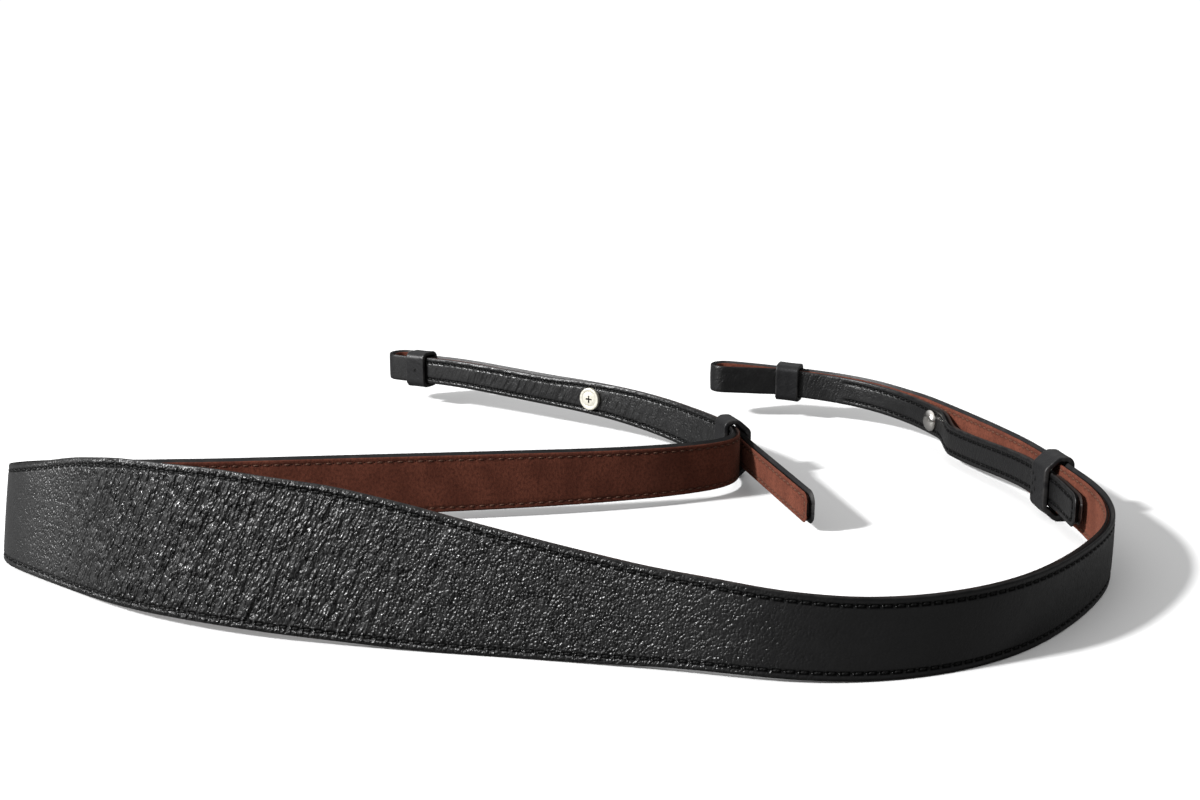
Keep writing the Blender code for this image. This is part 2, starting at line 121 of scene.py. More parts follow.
# The studs: how they stand on the leather, the insets of the head's turned ring as (width, rise), the recess,
# and how much a top face looks up; the flange's height and the barrel's are shares of the dome's
HEAD_SEAT = FIT_CLEARANCE * 0.2
HEAD_RING = [(0.0011, 0.0), (0.00012, -0.00006), (0.0005, 0.00010)]
HEAD_RIM = 0.00032
RECESS_REACH = 0.0016
RECESS_HALF_ARM = 0.00034
RECESS_DEPTH = 0.0007
RECESS_TAPER = 0.6
HEAD_SIDES = 56
CAP_SIDES = 48
CAP_SEAT = FIT_CLEARANCE * 0.4
CAP_FLANGE = 0.18
CAP_RIM = 0.00022
BARREL_REACH = 1.2
LOOKS_UP = 0.9

# The camera stands in front of the pad, placed from the left fold
CAMERA_FROM_LEFT_FOLD = Vector((0.0795, -0.557, 0.131))
CAMERA_PITCH = math.radians(76.8)
CAMERA_LENS = 43.5


# Tables of what changes along the strap; the first column is the share of the way between the folds, but for
# the widths. This first one says where the strap points, seen from above, in degrees from +X
HEADINGS = [
    (0.000, -33), (0.101, -34), (0.150, -58), (0.174, -78), (0.200, -152), (0.225, -164), (0.265, -171),
    (0.393, -173), (0.423, -43), (0.464, -41), (0.526, -10), (0.570, -9), (0.612, -13), (0.634, -16),
    (0.659, 3), (0.716, 45), (0.757, 59), (0.799, 93), (0.861, 102), (0.908, 107), (0.942, 137),
    (0.967, 159), (1.000, 164),
]

# How wide it is at a share of the way from a fold to the pad's middle: shares of the growth to STRAP_WIDTH
# and then to PAD_WIDTH
TAPERS = [
    (0.00, 0.00, 0.00), (0.15, 0.06, 0.00), (0.22, 0.32, 0.00), (0.31, 0.55, 0.00), (0.38, 0.60, 0.00),
    (0.51, 0.80, 0.00), (0.69, 0.97, 0.00), (0.73, 1.00, 0.04), (0.78, 1.00, 0.18), (0.86, 1.00, 0.60),
    (0.90, 1.00, 0.82), (0.94, 1.00, 0.96), (1.00, 1.00, 1.00),
]

# How the lower edge lies: shares of a keeper's seat and of the rise to the folds, and the lean of the top
# inwards in degrees
POSTURES = [
    (0.000, 1.0, 0.76, 0), (0.030, 1.0, 0.88, 0), (0.095, 1.0, 0.62, 0), (0.155, 1.0, 0.00, 0),
    (0.180, 1.0, 0.00, 0), (0.195, 1.0, 0.07, 0), (0.228, 1.0, 0.06, 0), (0.310, 1.0, 0.02, 0),
    (0.361, 0.6, 0.05, 0), (0.391, 0.2, 0.00, 3), (0.407, 0.0, 0.00, 8), (0.429, 0.0, 0.03, 8),
    (0.469, 0.0, 0.24, 6), (0.506, 0.0, 0.32, 5), (0.542, 0.0, 0.12, 4), (0.563, 0.0, 0.00, 3),
    (0.600, 0.0, 0.02, 0), (0.630, 0.0, 0.14, 0), (0.670, 0.0, 0.00, 0), (0.770, 0.0, 0.00, 0),
    (0.805, 1.0, 0.00, 0), (0.846, 1.0, 0.06, 0), (0.896, 1.0, 0.22, 0), (0.936, 1.0, 0.56, 0),
    (1.000, 1.0, 0.90, 0),
]

# How the black grain shows along the strap: how coarse its pebbles are and how deep the creases across it;
# the tails have one grain all along
GRAINS = [
    (0.00, 0.08, 0.10), (0.03, 0.15, 0.25), (0.05, 0.20, 0.60), (0.09, 0.25, 0.45), (0.14, 0.40, 0.40),
    (0.21, 0.45, 0.45), (0.39, 0.20, 0.10), (0.41, 0.04, 0.03), (0.425, 0.08, 0.00), (0.437, 0.35, 0.03),
    (0.450, 0.95, 0.25), (0.465, 1.00, 0.70), (0.480, 1.00, 1.10), (0.50, 1.00, 1.10), (0.54, 1.00, 0.80),
    (0.56, 1.00, 0.35), (0.605, 1.00, 0.22), (0.625, 0.70, 0.10), (0.64, 0.32, 0.05), (0.655, 0.10, 0.02),
    (0.70, 0.06, 0.02), (0.74, 0.14, 0.12), (0.78, 0.20, 0.30), (0.86, 0.20, 0.25), (0.97, 0.12, 0.15),
    (1.00, 0.06, 0.08),
]
TAIL_GRAIN = (0.16, 0.12)

# One end of the strap: which fold it is, and how its tail and keepers lie
End = namedtuple("End", "name side eye_angle keeper_from_stud tail_length bulge droop turn tip_droop")
ENDS = [
    End("left", 1, 62, 0.0702, 0.227, 0.0010, 0.0002, 6.0, 0.0024),
    End("right", -1, 17, 0.0780, 0.197, 0.0030, 0.0020, -7.0, 0.0),
]

# A place along the leather: plan point and heading of the glue line, height of the lower edge, width, lean,
# way from the first place of its list, and the share of a stitch row's depth that it has
Station = namedtuple("Station", "x y heading foot width lean run stitched")

# Distances from the end of a tail at which its rounded corners are cut
TIP_PLACES = [
    0.0038, 0.0034, 0.0029, 0.0024, 0.0020, 0.0016, 0.0012, 0.0009, 0.0006, 0.0004, 0.0002, 0.00006, 0.0,
]


def rim_and_furrow(row, flank, foot, *rounding):
    """Table of a layer's face from its edge inwards: a rounded rim, then the furrow of a stitch row.

    Its columns are the distance from the edge, how far the face sinks, and the share of the furrow's depth.
    """
    furrow = [(row - flank, 0.0, 0.3), (row, 0.0, 1.0), (row + flank, 0.0, 0.3), (row + foot, 0.0, 0.0)]
    return [*rounding, *furrow]


# A layer of the strap: its shown face's distance from the glue line, the side it looks to, how far its edges
# are set in, its rim and the depth of its furrows
Layer = namedtuple("Layer", "face side inset rim furrow_depth")
BLACK_LAYER = Layer(
    OUTER_FACE, 1, 0.0,
    rim_and_furrow(STITCH_INSET, 0.00042, 0.00110, (0.0, 0.00034, 0.0), (0.00012, 0.00015, 0.0),
                   (0.00035, 0.00004, 0.0), (0.00080, 0.0, 0.0)),
    0.00026,
)
SUEDE_LAYER = Layer(
    LINING_FACE, -1, LINING_INSET,
    rim_and_furrow(SUEDE_ROW, 0.00030, 0.00090, (0.0, 0.00025, 0.0), (0.00015, 0.00006, 0.0),
                   (0.00045, 0.0, 0.0)),
    0.00014,
)
MIDDLE_SHARES = [0.14, 0.32, 0.50, 0.68, 0.86]

# Values that a strip's mesh holds for its material
STRIP_VALUES = ["from_edge", "coarse", "creased", "stitched", "stitch_way"]

# A keeper: its name, length and wall, then what its sewing is called, the side it is on, how far the leather
# of that side is from the glue line, and each stitch as (along the strap, up from the middle, slant in
# degrees)
Keeper = namedtuple("Keeper", "name length wall sewing side leather stitches")
KEEPERS = [
    Keeper("wide_keeper", WIDE_KEEPER_LENGTH, WIDE_KEEPER_WALL, "stitching", -1, LAYER_SPACING + OUTER_FACE,
           [(-0.0033, -0.0030, 90), (-0.0033, 0.0, 90), (-0.0033, 0.0030, 90), (-0.0018, -0.0015, 90),
            (-0.0018, 0.0015, 90)]),
    Keeper("narrow_keeper", NARROW_KEEPER_LENGTH, NARROW_KEEPER_WALL, "knot", 1, OUTER_FACE,
           [(0.0, 0.0002, 52), (0.0, 0.0002, 128)]),
]


def between(table, along):
    """Straight-line values of a table's other columns at a value of its first, held at its ends."""
    for low, high in zip(table, table[1:]):
        if along <= high[0]:
            part = max((along - low[0]) / (high[0] - low[0]), 0.0)
            return [a + part * (b - a) for a, b in zip(low[1:], high[1:])]
    return table[-1][1:]


def smoothed(table, along, window=WIDTH_WINDOW):
    """Means of a table's columns over a short window, which rounds off the table's corners."""
    spread = window / FOLD_TO_FOLD
    rows = [between(table, along + spread * k / 4) for k in range(-4, 5)]
    return [sum(column) / len(rows) for column in zip(*rows)]


def ease(part):
    """Goes from 0 to 1 with no slope at either end."""
    part = min(max(part, 0.0), 1.0)
    return part * part * (3 - 2 * part)


def width_at(distance):
    share = min(distance / PAD_MIDDLE, (FOLD_TO_FOLD - distance) / (FOLD_TO_FOLD - PAD_MIDDLE))
    strap, pad = smoothed(TAPERS, share)
    return END_WIDTH + strap * (STRAP_WIDTH - END_WIDTH) + pad * (PAD_WIDTH - STRAP_WIDTH)


def heading_at(distance):
    return math.radians(*smoothed(HEADINGS, distance / FOLD_TO_FOLD, HEADING_WINDOW))


def main_stations():
    """Stations every STEP from the left fold to the right fold."""
    count = round(FOLD_TO_FOLD / STEP)
    step = FOLD_TO_FOLD / count
    x = y = 0.0
    stations = []
    for index in range(count + 1):
        distance = index * step
        seat, rise, lean = smoothed(POSTURES, distance / FOLD_TO_FOLD)
        foot = seat * KEEPER_SEAT + rise * END_RISE
        to_fold = min(distance, FOLD_TO_FOLD - distance)
        stitched = ease((to_fold - BARE_BY_FOLD) / STITCH_START)
        stations.append(Station(x, y, heading_at(distance), foot, width_at(distance), math.radians(lean),
                                distance, stitched))
        middle = heading_at(distance + step / 2)
        x += step * math.cos(middle)
        y += step * math.sin(middle)
    return stations


def station_at(stations, run):
    """Station at a way along a list of them, between the two nearest places."""
    index = min(max(bisect_right(stations, run, key=lambda station: station.run), 1), len(stations) - 1)
    low, high = stations[index - 1], stations[index]
    part = (run - low.run) / (high.run - low.run)
    turned = math.remainder(high.heading - low.heading, math.tau)
    found = Station(*(a + part * (b - a) for a, b in zip(low, high)))
    return found._replace(heading=low.heading + part * turned)


def beside(station, offset):
    """Plan point on the lining side of a station, at an offset from its glue line."""
    x = station.x - offset * math.sin(station.heading)
    y = station.y + offset * math.cos(station.heading)
    return x, y


def from_fold(end, distance):
    """Distance from the left fold of a place that lies at a distance from this end's fold."""
    return distance if end.side > 0 else FOLD_TO_FOLD - distance


def keeper_middle(end):
    return STUD_FROM_FOLD + end.keeper_from_stud


def eye_run(end):
    """Distance from the fold at which the tail has come back against the strap."""
    turn = math.radians(end.eye_angle)
    both_radii = FOLD_RADIUS + EYE_BEND_RADIUS
    straight_drop = 2 * FOLD_RADIUS - LAYER_SPACING - both_radii * (1 - math.cos(turn))
    return both_radii * math.sin(turn) + straight_drop / math.tan(turn)


def eye_places(end):
    """Drop-shaped eye, as (run along the strap, spacing from it): round the fold and back to the strap."""
    turn = math.radians(end.eye_angle)
    places = []
    for index in range(1, FOLD_SIDES + 1):
        angle = (math.pi + turn) * index / FOLD_SIDES
        places.append((-FOLD_RADIUS * math.sin(angle), FOLD_RADIUS * (1 - math.cos(angle))))
    bends = max(2, round(end.eye_angle / EYE_BEND_STEP))
    for index in range(bends, -1, -1):
        angle = turn * index / bends
        run = eye_run(end) - EYE_BEND_RADIUS * math.sin(angle)
        places.append((run, LAYER_SPACING + EYE_BEND_RADIUS * (1 - math.cos(angle))))
    return places


def swell(end, run):
    """Share of a tail's bulge and droop: none up to the stud, quickly full after it, none in the keeper."""
    start = STUD_FROM_FOLD + STUD_HEAD_RADIUS
    finish = keeper_middle(end) - WIDE_KEEPER_LENGTH / 2
    part = (run - start) / (finish - start)
    return ease(part / BULGE_PEAK) * ease((1 - part) / (1 - BULGE_PEAK))


def along_strap(end, stations, run, spacing):
    """Plan point and station beside the strap; a negative run lies beyond the fold."""
    station = station_at(stations, from_fold(end, max(run, 0.0)))
    x, y = beside(station, spacing)
    beyond = end.side * min(run, 0.0)
    return x + beyond * math.cos(station.heading), y + beyond * math.sin(station.heading), station


def tip_half_width(to_end, inset):
    """Half of a tail's width at a distance from its end, set in from its outline, with rounded corners."""
    half = END_WIDTH / 2 - inset
    corner = TIP_CORNER - inset
    reach = max(TIP_CORNER - to_end, 0.0)
    return half - corner + math.sqrt(max(corner**2 - reach**2, 0.0))


def tail_points(end, stations):
    """Points of an eye and its tail, fold to tip: x, y, height of the lower edge, and stitched share."""
    points = []
    for run, spacing in eye_places(end):
        x, y, station = along_strap(end, stations, run, spacing)
        points.append((x, y, station.foot + station.width / 2 - END_WIDTH / 2, 0.0))
    mouth = keeper_middle(end) + WIDE_KEEPER_LENGTH / 2
    count = round((mouth - eye_run(end)) / STEP)
    for index in range(1, count + 1):
        run = eye_run(end) + (mouth - eye_run(end)) * index / count
        share = swell(end, run)
        x, y, station = along_strap(end, stations, run, LAYER_SPACING + share * end.bulge)
        middle = station.foot + station.width / 2 - share * end.droop
        points.append((x, y, middle - END_WIDTH / 2, ease((run - BARE_BEHIND_FOLD) / STITCH_START)))
    heading = station.heading + (0 if end.side > 0 else math.pi)
    free = round((end.tail_length - mouth) / STEP) * STEP
    ways = [index * STEP for index in range(1, round((free - TIP_PLACES[0]) / STEP))]
    way = 0.0
    for next_way in ways + [free - place for place in TIP_PLACES]:
        turned = heading + math.radians(end.turn) * ease(next_way / TAIL_TURN_RUN)
        x += (next_way - way) * math.cos(turned)
        y += (next_way - way) * math.sin(turned)
        way = next_way
        points.append((x, y, middle - end.tip_droop * way / free - END_WIDTH / 2, 1.0))
    return points


def whole_route(stations):
    """Stations of the whole length of leather, from the left tail's tip to the right tail's tip."""
    tails = [[(x, y, foot, END_WIDTH, 0.0, stitched) for x, y, foot, stitched in tail_points(end, stations)]
             for end in ENDS]
    rows = tails[0][::-1] + [(s.x, s.y, s.foot, s.width, s.lean, s.stitched) for s in stations] + tails[1]
    route = []
    run = 0.0
    for index, (x, y, foot, width, lean, stitched) in enumerate(rows):
        before = rows[max(index - 1, 0)]
        after = rows[min(index + 1, len(rows) - 1)]
        heading = math.atan2(after[1] - before[1], after[0] - before[0])
        run += math.dist(rows[index][:2], before[:2])
        route.append(Station(x, y, heading, foot, width, lean, run, stitched))
    return route, route[len(tails[0])].run, route[-len(tails[1]) - 1].run


def placed(station, across, up):
    """Point of a cross-section: across from the glue line to the black side, up from the lower edge."""
    side = Vector((math.sin(station.heading), -math.cos(station.heading), 0.0))
    upward = Vector((0.0, 0.0, 1.0))
    leaning_side = side * math.cos(station.lean) + upward * math.sin(station.lean)
    leaning_up = upward * math.cos(station.lean) - side * math.sin(station.lean)
    base = Vector((station.x, station.y, station.foot))
    return base + leaning_side * across + leaning_up * up


def laid_on_frame(stations, route):
    """Moves stations and route so that the leather lies in the box of its solid."""
    corners = [placed(s, OUTER_FACE, up) for s in route for up in (0.0, s.width)]
    low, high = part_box("outer_leather")
    across = [corner.x for corner in corners]
    deep = [corner.y for corner in corners]
    shift = Vector(((low.x + high.x) / 2 - (min(across) + max(across)) / 2,
                    (low.y + high.y) / 2 - (min(deep) + max(deep)) / 2))
    return [[s._replace(x=s.x + shift.x, y=s.y + shift.y) for s in each] for each in (stations, route)]


def select_only(*objects):
    bpy.ops.object.select_all(action="DESELECT")
    for each in objects:
        each.select_set(True)
    bpy.context.view_layer.objects.active = objects[0]


def added(add, name, **settings):
    """New mesh object from one of Blender's add operators, with nothing else selected."""
    bpy.ops.object.select_all(action="DESELECT")
    add(**settings)
    made = bpy.context.object
    made.name = name
    return made


def modified(piece, kind, **settings):
    """Gives a piece a modifier with its settings, and applies it."""
    select_only(piece)
    made = piece.modifiers.new(kind.lower(), kind)
    for key, value in settings.items():
        setattr(made, key, value)
    bpy.ops.object.modifier_apply(modifier=made.name)


def rounded_edges(piece, width, segments, sharper_than):
    """Bevels the edges of a piece that are sharper than an angle in degrees."""
    modified(piece, "BEVEL", width=width, segments=segments, limit_method="ANGLE",
             angle_limit=math.radians(sharper_than))


def smooth_up_to(degrees):
    bpy.ops.object.shade_smooth_by_angle(angle=math.radians(degrees))


def edit_all(piece):
    """Leaves the piece in edit mode with all of it selected."""
    select_only(piece)
    bpy.ops.object.mode_set(mode="EDIT")
    bpy.ops.mesh.select_all(action="SELECT")


def edit_top_faces(piece):
    """Leaves the piece in edit mode with only its faces that look up selected."""
    edit_all(piece)
    bpy.ops.mesh.select_mode(type="FACE")
    bpy.ops.mesh.select_all(action="DESELECT")
    bpy.ops.object.mode_set(mode="OBJECT")
    for face in piece.data.polygons:
        face.select = face.normal.z > LOOKS_UP
    bpy.ops.object.mode_set(mode="EDIT")


def edit_done():
    bpy.ops.object.mode_set(mode="OBJECT")


def extrude_up(rise):
    bpy.ops.mesh.extrude_region_move(TRANSFORM_OT_translate={"value": (0, 0, rise)})


def laid_sheet(name, rows, titles):
    """Grid laid on rows of points, each a place, a spot on the sheet's own map in millimetres, and values."""
    points = [row[column] for column in range(len(rows[0])) for row in rows]
    sheet = added(bpy.ops.mesh.primitive_grid_add, name, x_subdivisions=len(rows) - 1,
                  y_subdivisions=len(rows[0]) - 1, size=1)
    mesh = sheet.data
    mesh.vertices.foreach_set("co", [value for place, _, _ in points for value in place])
    while mesh.uv_layers:
        mesh.uv_layers.remove(mesh.uv_layers[0])
    layer = mesh.uv_layers.new(name="strap_mm")
    for loop in mesh.loops:
        layer.data[loop.index].uv = points[loop.vertex_index][1]
    for index, title in enumerate(titles):
        made = mesh.attributes.new(title, "FLOAT", "POINT")
        made.data.foreach_set("value", [values[index] for _, _, values in points])
    mesh.update()
    return sheet


def rim_columns(rim, width):
    """Distances up from the lower edge across a strip: close together at its rims, far apart between them."""
    scale = min(1.0, width / (LEAST_RIMS_ACROSS * rim[-1][0]))
    outer = [place[0] * scale for place in rim]
    start = outer[-1]
    inner = [start + share * (width - 2 * start) for share in MIDDLE_SHARES]
    return outer + inner + [width - up for up in reversed(outer)]


def from_outline(to_side, to_end, corner):
    """Distance from the nearest place of a tail's outline, whose corners are rounded."""
    if to_side < corner and to_end < corner:
        return corner - math.hypot(corner - to_side, corner - to_end)
    return min(to_side, to_end)


def stitch_pitch(route):
    """Pitch at which a whole number of stitches fits between the rows across the two tips."""
    length = route[-1].run - 2 * STITCH_INSET
    return length / round(length / STITCH_PITCH)


def strip_of_strap(name, route, folds, layer, finishes):
    """One layer of the strap: its shown face laid along the route, then given its thickness."""
    left_fold, right_fold = folds
    pitch = stitch_pitch(route)
    rows = []
    for station in route:
        to_end = min(station.run, route[-1].run - station.run)
        if to_end < layer.inset - GLUE_LINE:
            continue
        full = station.width / 2 - layer.inset
        half = tip_half_width(to_end, layer.inset) if to_end < TIP_CORNER else full
        share = (station.run - left_fold) / (right_fold - left_fold)
        coarse, creased = smoothed(GRAINS, share) if 0.0 <= share <= 1.0 else TAIL_GRAIN
        row = []
        for up in rim_columns(layer.rim, 2 * half):
            above = up - half
            to_side = full - abs(above)
            from_edge = max(from_outline(to_side, to_end - layer.inset, TIP_CORNER - layer.inset), 0.0)
            rounding, furrow = between(layer.rim, from_edge)
            sunk = rounding + furrow * layer.furrow_depth * station.stitched
            crown = FACE_CROWN * math.sin(math.pi * min(from_edge / full, 1.0) / 2)
            place = placed(station, layer.side * (layer.face - sunk + crown), station.width / 2 + above)
            along_side = (station.run - STITCH_INSET) / pitch
            along_end = above / (END_WIDTH / 2 - STITCH_INSET)
            way = along_end if to_end - layer.inset < to_side else along_side
            spot = (station.run * 1000, above * 1000)
            row.append((place, spot, (from_edge * 1000, coarse, creased, station.stitched, way)))
        rows.append(row if layer.side > 0 else row[::-1])
    strip = laid_sheet(name, rows, STRIP_VALUES)
    for finish in finishes:
        strip.data.materials.append(finish)
    modified(strip, "SOLIDIFY", thickness=layer.face - GLUE_LINE, offset=-1.0, use_even_offset=True,
             material_offset_rim=1)
    smooth_up_to(42)
    return strip


# What follows builds node trees. A colour is given there as red, green and blue.


class Wire:
    """A value in a node tree; arithmetic with wires and numbers adds nodes to the tree."""

    def __init__(self, socket):
        self.socket = socket
        self.tree = socket.id_data

    def __add__(self, other):
        return maths("ADD", self, other)

    def __sub__(self, other):
        return maths("SUBTRACT", self, other)

    def __mul__(self, other):
        return maths("MULTIPLY", self, other)


def feed(socket, value):
    """Links a socket to a wire, or sets it."""
    if isinstance(value, Wire):
        value.tree.links.new(value.socket, socket)
    elif socket.type == "RGBA":
        socket.default_value = (*value, 1.0)
    else:
        socket.default_value = value


def feed_named(made, sockets):
    for key, value in sockets.items():
        feed(made.inputs[key.replace("_", " ")], value)


def node(tree, kind, settings=None, **sockets):
    """New shader node with its settings, and its sockets set or linked by name."""
    made = tree.nodes.new("ShaderNode" + kind)
    for key, value in (settings or {}).items():
        setattr(made, key, value)
    feed_named(made, sockets)
    return made


def wire(tree, kind, output, settings=None, **sockets):
    """Wire from one output of a new node."""
    return Wire(node(tree, kind, settings, **sockets).outputs[output])


def in_order(kind, settings, *values):
    """Wire from the first output of a new node whose sockets are fed by their order."""
    tree = next(value.tree for value in values if isinstance(value, Wire))
    made = node(tree, kind, settings)
    for socket, value in zip(made.inputs, values):
        feed(socket, value)
    return Wire(made.outputs[0])


def maths(operation, *values):
    return in_order("Math", {"operation": operation}, *values)


def vectors(operation, *values):
    return in_order("VectorMath", {"operation": operation}, *values)


def ranged(value, low, high, to_low=0.0, to_high=1.0, kind="SMOOTHSTEP"):
    """Value carried from the range low to high into the range to_low to to_high, and held outside it."""
    return in_order("MapRange", {"interpolation_type": kind}, value, low, high, to_low, to_high)


def mixed(share, first, second, kind="RGBA", sockets=(6, 7, 2)):
    """Colour between a first and a second one."""
    made = node(share.tree, "Mix", {"data_type": kind})
    for index, value in ((0, share), (sockets[0], first), (sockets[1], second)):
        feed(made.inputs[index], value)
    return Wire(made.outputs[sockets[2]])


def blended(share, first, second):
    """Number between a first and a second one."""
    return mixed(share, first, second, "FLOAT", (2, 3, 0))


def stretched(place, *scale, turn=0.0):
    return wire(place.tree, "Mapping", 0, Vector=place, Scale=scale, Rotation=(0.0, 0.0, turn))


def noise(place, scale, detail=3.0, rough=0.5):
    return wire(place.tree, "TexNoise", 0, Vector=place, Scale=scale, Detail=detail, Roughness=rough)


def leaning(place, angle):
    return wire(place.tree, "VectorRotate", 0, {"rotation_type": "Z_AXIS"}, Vector=place, Angle=angle)


def new_group(name, **inputs):
    """Node group and the wires of its named inputs; an input without a number is a place."""
    group = bpy.data.node_groups.new(name, "ShaderNodeTree")
    for key, value in inputs.items():
        kind = "NodeSocketVector" if value is None else "NodeSocketFloat"
        socket = group.interface.new_socket(name=key.replace("_", " "), in_out="INPUT", socket_type=kind)
        if value is not None:
            socket.default_value = value
    given = group.nodes.new("NodeGroupInput")
    return group, [Wire(output) for output in given.outputs[:len(inputs)]]


def finished_group(group, **outputs):
    for title in outputs:
        group.interface.new_socket(name=title, in_out="OUTPUT", socket_type="NodeSocketFloat")
    feed_named(group.nodes.new("NodeGroupOutput"), outputs)
    return group


def use_group(group, **sockets):
    """Outputs of a group by name, once it stands in the tree of its first socket's wire."""
    tree = next(iter(sockets.values())).tree
    made = node(tree, "Group", {"node_tree": group}, **sockets)
    return {output.name: Wire(output) for output in made.outputs}


# The grain's creases lean over the strap by this angle from square across it
CREASE_LEAN = math.radians(24)


def pebble_group():
    """Grain of domed cells of uneven height, longer along the creases than across them, with a fine crumb."""
    group, inputs = new_group("pebble_grain", Place=None, Cell=0.8, Drawn=0.75, Coarse=1.0)
    place, cell, drawn, coarse = inputs
    per_mm = maths("DIVIDE", 1.0, cell)
    wander = wire(group, "TexNoise", "Color", Vector=place, Scale=0.7, Detail=2.0)
    wandering = vectors("MULTIPLY_ADD", wander, (1.1, 1.1, 1.1), place)
    shares = wire(group, "CombineXYZ", 0, X=1.0, Y=drawn, Z=1.0)
    spot = vectors("MULTIPLY", leaning(wandering, CREASE_LEAN), shares)
    cells = node(group, "TexVoronoi", {"feature": "SMOOTH_F1"}, Vector=spot, Scale=per_mm,
                 Smoothness=0.22)
    lines = wire(group, "TexVoronoi", "Distance", {"feature": "DISTANCE_TO_EDGE"}, Vector=spot,
                 Scale=per_mm)
    crumbs = wire(group, "TexVoronoi", "Distance", {"feature": "SMOOTH_F1"}, Vector=spot,
                  Scale=per_mm * 2.6, Smoothness=0.3)
    away = Wire(cells.outputs["Distance"])
    dome = away * away * -2.6 + 1.0
    tall = wire(group, "SeparateXYZ", 0, Vector=Wire(cells.outputs["Color"])) * 0.7 + 0.55
    patches = ranged(noise(place, 0.35, 2.0), 0.30, 0.62, 0.45, 1.0)
    weight = coarse * patches
    height = dome * tall * weight + crumbs * (weight * -0.20)
    return finished_group(group, Height=height, Valley=ranged(lines, 0.0, 0.28, 1.0, 0.0) * weight)


def crease_group():
    """Creases across the strap: rounded folds of the grain that lean over it, wide ones and fine ones."""
    group, (place, lean) = new_group("creases", Place=None, Lean=CREASE_LEAN)
    across = leaning(place, lean)
    wide = noise(stretched(across, 0.50, 0.085, 1.0), 1.0, 2.0, 0.45)
    fine = noise(stretched(across, 1.05, 0.20, 1.0), 1.0, 2.0, 0.5)
    return finished_group(group, Height=ranged(fine, 0.36, 0.64) * 0.45 + ranged(wide, 0.36, 0.62))


def stitch_group():
    """A stitch row: holes between stitches, where the way along it is whole, its furrow and its puckers."""
    group, (way, from_edge, row, stitched) = new_group("stitch_row", Way=0.0, From_Edge=0.0,
                                                       Row=STITCH_INSET * 1000, Stitched=1.0)
    nearest = maths("PINGPONG", way, 0.5)
    along = nearest * (STITCH_PITCH * 1000)
    beside_row = from_edge - row
    apart = maths("ABSOLUTE", beside_row)
    hole = ranged(maths("SQRT", along * along + beside_row * beside_row), 0.10, 0.32, 1.0, 0.0) * stitched
    pulled = ranged(nearest, 0.04, 0.18) * stitched
    gathered = ranged(apart, 0.1, 1.3, 1.0, 0.0) * stitched
    return finished_group(group, Hole=hole, Furrow=ranged(apart, 0.30, 0.85, 1.0, 0.0) * pulled,
                          Pucker=ranged(nearest, 0.0, 0.32, 1.0, 0.0) * gathered)


def wear_group():
    """Wear along an edge: strongest at the edge and broken up by soft patches."""
    group, (place, from_edge, reach) = new_group("edge_wear", Place=None, From_Edge=0.0, Reach=0.6)
    near = ranged(from_edge, 0.0, reach, 1.0, 0.0, kind="LINEAR")
    return finished_group(group, Wear=near * ranged(noise(place, 0.35, 4.0, 0.6), 0.35, 0.65))


PEBBLES = pebble_group()
CREASES = crease_group()
STITCHES = stitch_group()
WEAR = wear_group()


def new_material(name):
    made = bpy.data.materials.new(name)
    made.use_nodes = True
    return made, made.node_tree


def dressed(material, **sockets):
    """The material once its shader's sockets are set or linked by name."""
    feed_named(material.node_tree.nodes["Principled BSDF"], sockets)
    return material


def bumped(height, distance, strength=1.0):
    """Normal of a bump whose height of 1 stands for a distance in metres."""
    return wire(height.tree, "Bump", 0, Height=height, Distance=distance, Strength=strength)


def strip_place(tree):
    """The strip's own map, in millimetres."""
    return wire(tree, "UVMap", 0, {"uv_map": "strap_mm"})


def strip_value(tree, title):
    return wire(tree, "Attribute", "Fac", {"attribute_name": title})


def place_in_mm(tree):
    return stretched(wire(tree, "TexCoord", "Object"), 1000.0, 1000.0, 1000.0)


